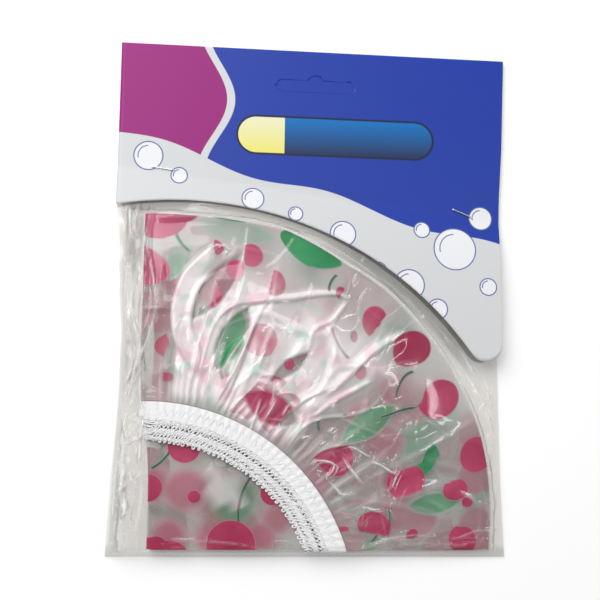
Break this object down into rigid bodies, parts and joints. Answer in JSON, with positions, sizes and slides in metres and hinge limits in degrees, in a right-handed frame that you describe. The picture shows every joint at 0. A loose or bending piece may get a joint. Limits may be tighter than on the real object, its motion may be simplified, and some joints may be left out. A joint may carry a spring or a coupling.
{
  "type": "packed shower cap",
  "caption": "Printed film shower cap with an elastic lace edge, folded into a quarter in a clear bag under a stapled header card with a hang slot.",
  "frame": {"origin": "centre of the pack's outline, on the surface it lies on", "axes": "+X to the right of the printed front, +Y to the card's top fold, +Z out of the printed front"},
  "size_m": [0.165, 0.2132, 0.0116],
  "materials": {
    "milky_film": "milky soft film with a cherry print",
    "clear_film": "clear glossy bag film",
    "elastic": "white woven elastic",
    "lace": "white openwork lace",
    "thread": "white sewing thread",
    "printed_card": "coated card, printed in blue, purple and white",
    "staple_wire": "bright flat wire"
  },
  "bodies": {
    "pack": {"bag_front_film": "clear_film", "bag_back_film": "clear_film", "bag_left_seam": "clear_film", "bag_right_seam": "clear_film", "bag_bottom_fold": "clear_film", "header_card": "printed_card", "staple_left": "staple_wire", "staple_right": "staple_wire"},
    "cap": {"cap_film": "milky_film", "elastic_band": "elastic", "lace_edging": "lace", "stitching_front": "thread", "stitching_back": "thread"},
    "hang_slug": {"hang_slug_front": "printed_card", "hang_slug_back": "printed_card"}
  },
  "joints": [
    {"name": "cap_slide", "type": "slide", "parent": "pack", "child": "cap", "axis": [-1, 0, 0], "range_m": [0, 0.006]},
    {"name": "slug_push", "type": "slide", "parent": "pack", "child": "hang_slug", "axis": [0, 0, 1], "range_m": [0, 0.012]}
  ]
}
